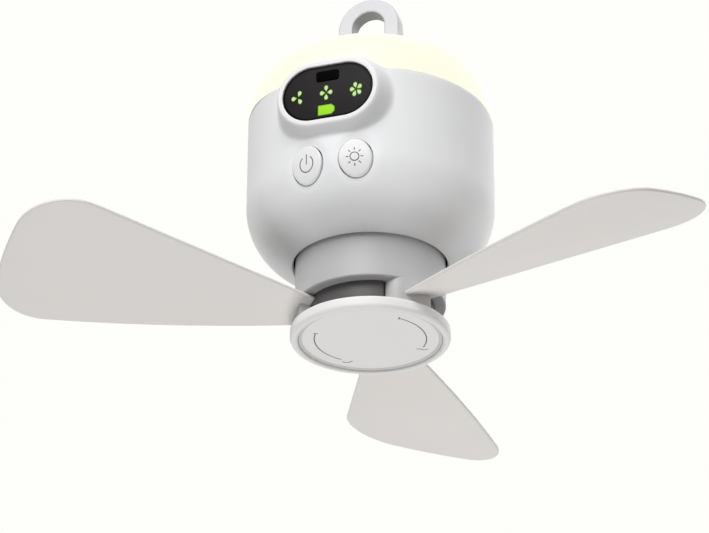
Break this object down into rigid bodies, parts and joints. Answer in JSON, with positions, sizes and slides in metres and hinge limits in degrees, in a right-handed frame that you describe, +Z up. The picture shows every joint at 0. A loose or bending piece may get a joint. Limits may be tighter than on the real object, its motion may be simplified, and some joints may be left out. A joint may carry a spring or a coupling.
{
  "type": "portable camping fan",
  "caption": "Round hanging fan and lantern with a folding hook, lit display, push buttons, domed lamp and paddle blades held by a twist cap.",
  "frame": {"origin": "the hanging point inside the top of the raised hook, on the blades' spin axis", "axes": "+Z up along the spin axis, -Y towards the display and buttons, +Y towards the charging socket, +X to the right as seen from the front"},
  "size_m": [0.2475, 0.234, 0.1433],
  "materials": {
    "white_shell": "satin",
    "white_button": "satin",
    "grey_print": "printed",
    "white_hub": "satin",
    "white_cap": "satin",
    "white_blade": "satin",
    "grey_hook": "satin",
    "lamp_glow": "frosted",
    "white_reflector": "gloss",
    "black_gloss": "gloss",
    "green_light": "lit",
    "led": "gloss",
    "circuit_board": "solder mask",
    "steel": "plated",
    "plated_steel": "zinc plated",
    "laminations": "stacked sheet",
    "magnet": "sintered",
    "copper": "enamelled copper wire",
    "nickel": "nickel strip",
    "cell_wrap": "shrink wrap",
    "inner_frame": "matt"
  },
  "bodies": {
    "housing": {"body_shell": "white_shell", "motor_bracket": "inner_frame", "stator_core": "laminations", "stator_coils": "copper", "bearings": "steel", "display_window": "black_gloss", "speed_icon_low": "green_light", "speed_icon_middle": "green_light", "speed_icon_high": "green_light", "battery_icon": "green_light", "ir_window": "black_gloss", "display_board": "circuit_board", "display_leds": "led", "ir_receiver": "black_gloss", "main_board": "circuit_board", "tact_switches": "black_gloss", "charge_board": "circuit_board", "usb_socket": "steel", "battery_tray": "inner_frame", "battery_cells": "cell_wrap", "cell_tabs": "nickel", "cell_strap": "inner_frame", "lamp_tray": "white_reflector", "lamp_board": "circuit_board", "lamp_leds": "led", "lamp_diffuser": "lamp_glow", "hook_base": "white_shell", "hook_pin": "steel", "bracket_screws": "steel", "lamp_screws": "steel", "strap_screws": "steel", "board_screws": "steel", "base_screws": "steel"},
    "rotor": {"rotor_hub": "white_hub", "motor_shaft": "steel", "retaining_clip": "steel", "motor_bell": "plated_steel", "magnets": "magnet", "blade_1": "white_blade", "blade_2": "white_blade", "blade_3": "white_blade"},
    "twist_cap": {"lock_cap": "white_cap", "cap_disc": "white_cap"},
    "power_key": {"power_button": "white_button", "power_symbol": "grey_print"},
    "light_key": {"light_button": "white_button", "light_symbol": "grey_print"},
    "hook": {"hook": "grey_hook"}
  },
  "joints": [
    {"name": "blade_spin", "type": "hinge", "parent": "housing", "child": "rotor", "pos_m": [0, 0, 0], "axis": [0, 0, 1], "continuous": true},
    {"name": "cap_twist", "type": "hinge", "parent": "rotor", "child": "twist_cap", "pos_m": [0, 0, 0], "axis": [0, 0, 1], "range_deg": [0, 30]},
    {"name": "power_press", "type": "slide", "parent": "housing", "child": "power_key", "axis": [0, 1, 0], "range_m": [0, 0.0006], "stiffness_N_per_m": 800},
    {"name": "light_press", "type": "slide", "parent": "housing", "child": "light_key", "axis": [0, 1, 0], "range_m": [0, 0.0006], "stiffness_N_per_m": 800},
    {"name": "hook_fold", "type": "hinge", "parent": "housing", "child": "hook", "pos_m": [0, 0, -0.0199], "axis": [1, 0, 0], "range_deg": [-90, 90]}
  ]
}
